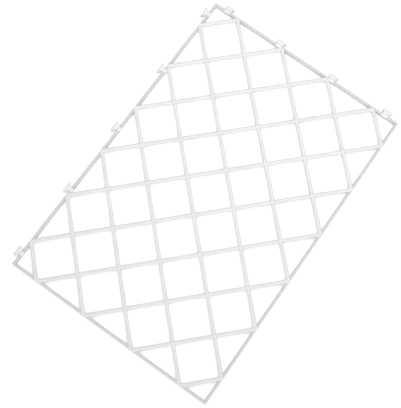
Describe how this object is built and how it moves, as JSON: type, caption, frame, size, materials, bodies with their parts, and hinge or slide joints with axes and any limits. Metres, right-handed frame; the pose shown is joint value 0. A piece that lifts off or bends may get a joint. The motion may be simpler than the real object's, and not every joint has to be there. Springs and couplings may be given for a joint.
{
  "type": "lattice trellis panel",
  "caption": "Rectangular white plastic lattice panel: slim deep rails around crossing diagonal bars, with sprung hooks along two sides that clip over the next panel's rail.",
  "frame": {"origin": "under the middle of the overall outline, hooks included, on the back plane that the rails rest on", "axes": "+X along the long rails, +Y along the short rails away from the hook-side long rail, +Z out of the front face"},
  "size_m": [0.609, 0.4088, 0.0108],
  "materials": {
    "rail_plastic": "satin moulded polypropylene, off-white",
    "bar_plastic": "satin moulded polypropylene, off-white",
    "hook_plastic": "satin moulded polypropylene, off-white"
  },
  "bodies": {
    "panel": {"long_rail_hook_side": "rail_plastic", "long_rail_plain_side": "rail_plastic", "short_rail_hook_side": "rail_plastic", "short_rail_plain_side": "rail_plastic", "rising_bar_1": "bar_plastic", "rising_bar_2": "bar_plastic", "rising_bar_3": "bar_plastic", "rising_bar_4": "bar_plastic", "rising_bar_5": "bar_plastic", "rising_bar_6": "bar_plastic", "rising_bar_7": "bar_plastic", "rising_bar_8": "bar_plastic", "rising_bar_9": "bar_plastic", "rising_bar_10": "bar_plastic", "falling_bar_1": "bar_plastic", "falling_bar_2": "bar_plastic", "falling_bar_3": "bar_plastic", "falling_bar_4": "bar_plastic", "falling_bar_5": "bar_plastic", "falling_bar_6": "bar_plastic", "falling_bar_7": "bar_plastic", "falling_bar_8": "bar_plastic", "falling_bar_9": "bar_plastic", "falling_bar_10": "bar_plastic", "long_side_strap_1": "hook_plastic", "long_side_strap_2": "hook_plastic", "long_side_strap_3": "hook_plastic", "long_side_strap_4": "hook_plastic", "long_side_strap_5": "hook_plastic", "short_side_strap_1": "hook_plastic", "short_side_strap_2": "hook_plastic", "short_side_strap_3": "hook_plastic", "short_side_strap_4": "hook_plastic"},
    "long_hook_1": {"long_side_hook_1": "hook_plastic"},
    "long_hook_2": {"long_side_hook_2": "hook_plastic"},
    "long_hook_3": {"long_side_hook_3": "hook_plastic"},
    "long_hook_4": {"long_side_hook_4": "hook_plastic"},
    "long_hook_5": {"long_side_hook_5": "hook_plastic"},
    "short_hook_1": {"short_side_hook_1": "hook_plastic"},
    "short_hook_2": {"short_side_hook_2": "hook_plastic"},
    "short_hook_3": {"short_side_hook_3": "hook_plastic"},
    "short_hook_4": {"short_side_hook_4": "hook_plastic"}
  },
  "joints": [
    {"name": "long_hook_1_flex", "type": "hinge", "parent": "panel", "child": "long_hook_1", "pos_m": [-0.26735, -0.19615, 0.01], "axis": [-1, 0, 0], "range_deg": [0, 8], "stiffness_Nm_per_rad": 0.8},
    {"name": "long_hook_2_flex", "type": "hinge", "parent": "panel", "child": "long_hook_2", "pos_m": [-0.13035, -0.19615, 0.01], "axis": [-1, 0, 0], "range_deg": [0, 8], "stiffness_Nm_per_rad": 0.8},
    {"name": "long_hook_3_flex", "type": "hinge", "parent": "panel", "child": "long_hook_3", "pos_m": [0.00665, -0.19615, 0.01], "axis": [-1, 0, 0], "range_deg": [0, 8], "stiffness_Nm_per_rad": 0.8},
    {"name": "long_hook_4_flex", "type": "hinge", "parent": "panel", "child": "long_hook_4", "pos_m": [0.14365, -0.19615, 0.01], "axis": [-1, 0, 0], "range_deg": [0, 8], "stiffness_Nm_per_rad": 0.8},
    {"name": "long_hook_5_flex", "type": "hinge", "parent": "panel", "child": "long_hook_5", "pos_m": [0.28065, -0.19615, 0.01], "axis": [-1, 0, 0], "range_deg": [0, 8], "stiffness_Nm_per_rad": 0.8},
    {"name": "short_hook_1_flex", "type": "hinge", "parent": "panel", "child": "short_hook_1", "pos_m": [-0.29615, -0.16745, 0.01], "axis": [0, 1, 0], "range_deg": [0, 8], "stiffness_Nm_per_rad": 0.8},
    {"name": "short_hook_2_flex", "type": "hinge", "parent": "panel", "child": "short_hook_2", "pos_m": [-0.29615, -0.05285, 0.01], "axis": [0, 1, 0], "range_deg": [0, 8], "stiffness_Nm_per_rad": 0.8},
    {"name": "short_hook_3_flex", "type": "hinge", "parent": "panel", "child": "short_hook_3", "pos_m": [-0.29615, 0.06175, 0.01], "axis": [0, 1, 0], "range_deg": [0, 8], "stiffness_Nm_per_rad": 0.8},
    {"name": "short_hook_4_flex", "type": "hinge", "parent": "panel", "child": "short_hook_4", "pos_m": [-0.29615, 0.17635, 0.01], "axis": [0, 1, 0], "range_deg": [0, 8], "stiffness_Nm_per_rad": 0.8}
  ]
}
